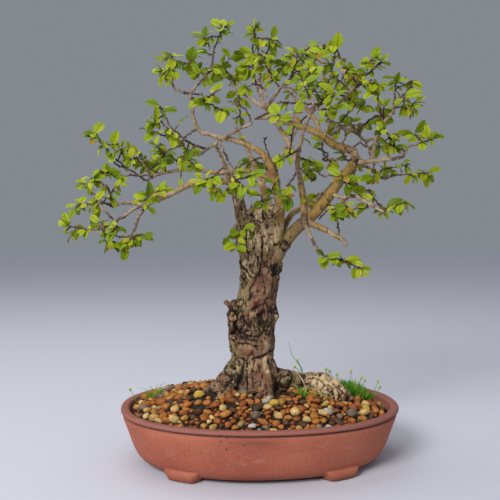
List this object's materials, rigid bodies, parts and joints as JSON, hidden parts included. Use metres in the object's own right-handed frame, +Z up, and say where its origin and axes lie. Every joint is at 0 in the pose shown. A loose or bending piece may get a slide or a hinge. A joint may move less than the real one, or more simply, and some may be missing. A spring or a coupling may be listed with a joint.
{
  "type": "bonsai tree",
  "caption": "Chinese elm bonsai with a burled trunk, broken crown stump and sparse new leaves, in a shallow unglazed oval pot.",
  "frame": {"origin": "on the ground, under the centre of the whole object's box", "axes": "+Z up, X along the pot's long axis, -Y towards the tree's front"},
  "size_m": [0.3446, 0.2078, 0.3993],
  "materials": {
    "terracotta": "matte, unglazed",
    "damp_soil": "matte",
    "pea_gravel": "satin",
    "elm_bark": "rough bark",
    "elm_leaf": "satin",
    "pearlwort": "matte"
  },
  "bodies": {
    "root": {"grass_tuft": "pearlwort", "gravel": "pea_gravel", "leafy_spray_01": "elm_leaf", "leafy_spray_02": "elm_leaf", "leafy_spray_03": "elm_leaf", "leafy_spray_04": "elm_leaf", "leafy_spray_05": "elm_leaf", "leafy_spray_06": "elm_leaf", "leafy_spray_07": "elm_leaf", "leafy_spray_08": "elm_leaf", "leafy_spray_09": "elm_leaf", "leafy_spray_10": "elm_leaf", "leafy_spray_11": "elm_leaf", "leafy_spray_12": "elm_leaf", "leafy_spray_13": "elm_leaf", "leafy_spray_14": "elm_leaf", "leafy_spray_15": "elm_leaf", "leafy_spray_16": "elm_leaf", "leafy_spray_17": "elm_leaf", "leafy_spray_18": "elm_leaf", "leafy_spray_19": "elm_leaf", "leafy_spray_20": "elm_leaf", "leafy_spray_21": "elm_leaf", "leafy_spray_22": "elm_leaf", "leafy_spray_23": "elm_leaf", "leafy_spray_24": "elm_leaf", "leafy_spray_25": "elm_leaf", "leafy_spray_26": "elm_leaf", "leafy_spray_27": "elm_leaf", "leafy_spray_28": "elm_leaf", "leafy_spray_29": "elm_leaf", "leafy_spray_30": "elm_leaf", "leafy_spray_31": "elm_leaf", "leafy_spray_32": "elm_leaf", "leafy_spray_33": "elm_leaf", "leafy_spray_34": "elm_leaf", "leafy_spray_35": "elm_leaf", "leafy_spray_36": "elm_leaf", "leafy_spray_37": "elm_leaf", "leafy_spray_38": "elm_leaf", "leafy_spray_39": "elm_leaf", "leafy_spray_40": "elm_leaf", "leafy_spray_41": "elm_leaf", "leafy_spray_42": "elm_leaf", "leafy_spray_43": "elm_leaf", "leafy_spray_44": "elm_leaf", "leafy_spray_45": "elm_leaf", "leafy_spray_46": "elm_leaf", "leafy_spray_47": "elm_leaf", "leafy_spray_48": "elm_leaf", "leafy_spray_49": "elm_leaf", "leafy_spray_50": "elm_leaf", "leafy_spray_51": "elm_leaf", "leafy_spray_52": "elm_leaf", "leafy_spray_53": "elm_leaf", "pearlwort_tuft": "pearlwort", "pot": "terracotta", "soil": "damp_soil", "tree_wood": "elm_bark", "weed_sprigs": "pearlwort"}
  },
  "joints": []
}
